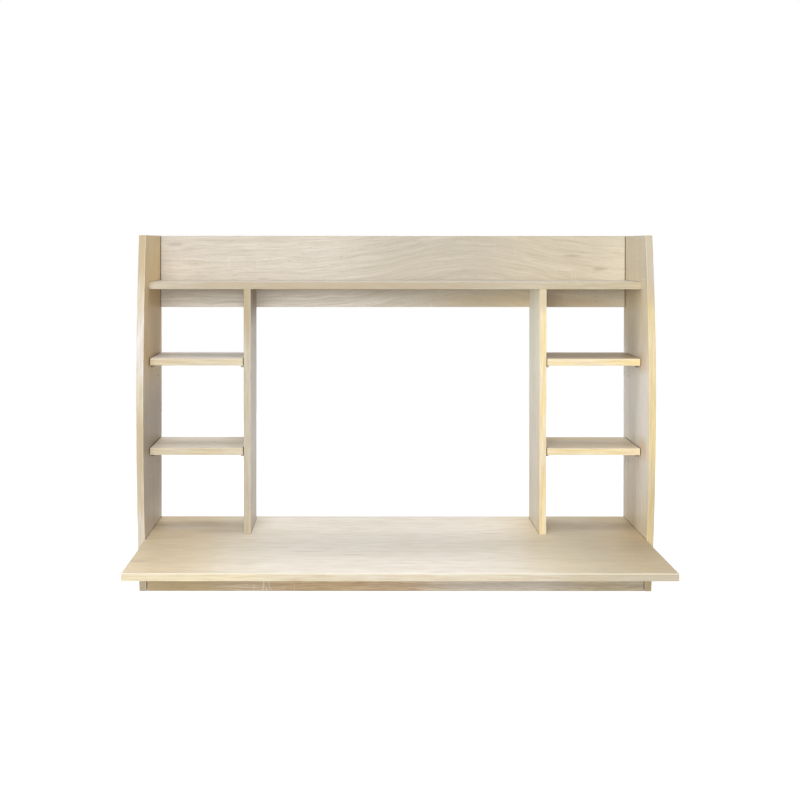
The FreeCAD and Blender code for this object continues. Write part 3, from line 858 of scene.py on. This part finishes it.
def add_floor(context, settings):
    """A pale matt floor that takes the desk's shadow and goes to white where it is lit."""
    edge = settings.floor_size / 2
    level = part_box("desktop")[1].z - settings.desktop_height
    mesh = bpy.data.meshes.new("floor")
    corners = [(x * edge, y * edge, level) for x, y in ((-1, -1), (1, -1), (1, 1), (-1, 1))]
    mesh.from_pydata(corners, [], [range(len(corners))])
    floor = bpy.data.objects.new("floor", mesh)
    context.scene.collection.objects.link(floor)
    material, tree = new_material("Matt white paint")
    paint = add_node(tree, "BsdfDiffuse", {"Color": opaque(settings.floor_colour)})
    place = add_node(tree, "TexCoord", output="Object")
    distance = add_node(tree, "VectorMath", [place], output="Value", operation="LENGTH")
    lift = add_node(
        tree, "MapRange",
        [distance, settings.floor_near, settings.floor_far,
         settings.floor_lift, settings.floor_far_lift],
        interpolation_type="SMOOTHSTEP")
    glow_strength = add_node(tree, "Math", [seen_directly(tree), lift], operation="MULTIPLY")
    glow = add_node(tree, "Emission", {"Strength": glow_strength})
    surface = add_node(tree, "AddShader", [paint, glow])
    add_node(tree, "OutputMaterial", {"Surface": surface})
    mesh.materials.append(material)


def light_room(context, settings):
    """Even light from all round, and plain white where the room itself is seen."""
    world = bpy.data.worlds.new("plain room")
    world.use_nodes = True
    tree = world.node_tree
    tree.nodes.clear()
    light = add_node(
        tree, "Background",
        {"Color": opaque(settings.room_colour), "Strength": settings.room_level})
    white = add_node(tree, "Background", {"Color": opaque(WHITE), "Strength": 1.0})
    sky = add_node(tree, "MixShader", [seen_directly(tree), light, white])
    add_node(tree, "OutputWorld", {"Surface": sky})
    context.scene.world = world


def add_softbox(context, name, softbox):
    lamp = bpy.data.lights.new(name, "AREA")
    lamp.shape = "RECTANGLE"
    lamp.size = softbox.width
    lamp.size_y = softbox.height
    lamp.energy = softbox.watts
    holder = bpy.data.objects.new(name, lamp)
    holder.location = softbox.place
    direction = Vector(softbox.aim) - holder.location
    holder.rotation_euler = direction.to_track_quat("-Z", "Y").to_euler()
    holder.visible_camera = False
    context.scene.collection.objects.link(holder)


def add_camera(context, settings):
    """A camera nearly square to the wall, whose lens is shifted to frame the desk."""
    camera = bpy.data.cameras.new("camera")
    camera.lens = settings.focal_pixels * camera.sensor_width / IMAGE_WIDTH
    camera.shift_x = 0.5 - settings.aim_x / IMAGE_WIDTH
    camera.shift_y = settings.aim_y / IMAGE_WIDTH - 0.5
    holder = bpy.data.objects.new("camera", camera)
    tilt = Matrix.Rotation(math.pi / 2 - settings.camera_dip, 4, "X")
    roll = Matrix.Rotation(settings.camera_roll, 4, "Z")
    holder.matrix_world = Matrix.Translation(settings.camera_place) @ tilt @ roll
    context.scene.collection.objects.link(holder)
    context.scene.camera = holder


# ---- Panel ----
class DESK_PT_finishes(bpy.types.Panel):
    """The desk's settings and the steps that use them"""
    bl_idname = "DESK_PT_finishes"
    bl_label = "Wall Desk"
    bl_space_type = "VIEW_3D"
    bl_region_type = "UI"
    bl_category = "Wall Desk"

    def draw(self, context):
        for name in GROUPS:
            group = getattr(context.scene, name)
            box = self.layout.box()
            for prop in group.bl_rna.properties:
                if prop.identifier not in ("rna_type", "name"):
                    box.prop(group, prop.identifier)
        for operator in OPERATORS:
            self.layout.operator(operator.bl_idname)


OPERATORS = (
    DESK_OT_finish_rails,
    DESK_OT_finish_desktop,
    DESK_OT_finish_top_shelf,
    DESK_OT_finish_uprights,
    DESK_OT_finish_small_shelves,
    DESK_OT_finish_shelf_pins,
    DESK_OT_finish_cam_fittings,
    DESK_OT_finish_dowels,
    DESK_OT_finish_hangers,
    DESK_OT_build_stage,
)
GROUPS = {
    "desk_decor": DeskDecorSettings,
    "desk_fittings": DeskFittingSettings,
    "desk_stage": DeskStageSettings,
}


def register():
    for group in GROUPS.values():
        bpy.utils.register_class(group)
    for name, group in GROUPS.items():
        setattr(bpy.types.Scene, name, PointerProperty(type=group))
    for cls in (*OPERATORS, DESK_PT_finishes):
        bpy.utils.register_class(cls)


def unregister():
    for cls in (DESK_PT_finishes, *reversed(OPERATORS)):
        bpy.utils.unregister_class(cls)
    for name, group in reversed(GROUPS.items()):
        delattr(bpy.types.Scene, name)
        bpy.utils.unregister_class(group)


def main():
    register()
    for operator in OPERATORS:
        category, name = operator.bl_idname.split(".")
        getattr(getattr(bpy.ops, category), name)()


if __name__ == "__main__":
    main()
